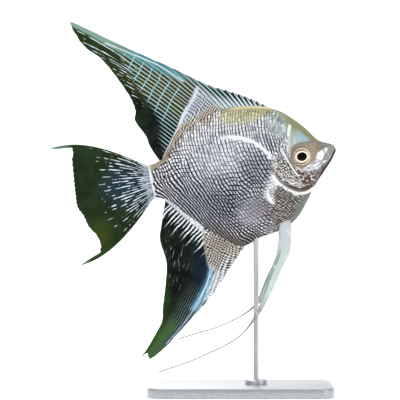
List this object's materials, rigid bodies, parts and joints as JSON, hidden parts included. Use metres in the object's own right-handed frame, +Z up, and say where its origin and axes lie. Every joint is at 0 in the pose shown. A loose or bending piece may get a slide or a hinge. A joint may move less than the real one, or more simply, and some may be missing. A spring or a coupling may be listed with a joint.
{
  "type": "freshwater angelfish display model",
  "caption": "Still, life-size freshwater angelfish with spread fins and long pelvic feelers, held level by one rod on a flat display base.",
  "frame": {"origin": "centre of the display base's underside", "axes": "+X the way the fish faces, +Y to the fish's left, +Z up; the fish is pitched 10 degrees nose up"},
  "size_m": [0.1435, 0.052, 0.186],
  "materials": {
    "skin": "wet-looking satin",
    "fin": "satin",
    "pale_fin": "satin",
    "clear_fin": "clear satin",
    "eye": "wet gloss",
    "stand_plate": "fine satin",
    "stand_rod": "brushed"
  },
  "bodies": {
    "root": {"head": "skin", "lower_jaw": "skin", "gill_cover_right": "skin", "gill_cover_left": "skin", "trunk": "skin", "tail_stalk": "skin", "dorsal_fin": "fin", "anal_fin": "fin", "tail_fin": "fin", "pelvic_fin_right": "pale_fin", "pelvic_fin_left": "pale_fin", "pectoral_fin_right": "clear_fin", "pectoral_fin_left": "clear_fin", "eye_right": "eye", "eye_left": "eye", "stand_base": "stand_plate", "stand_rod": "stand_rod"}
  },
  "joints": []
}
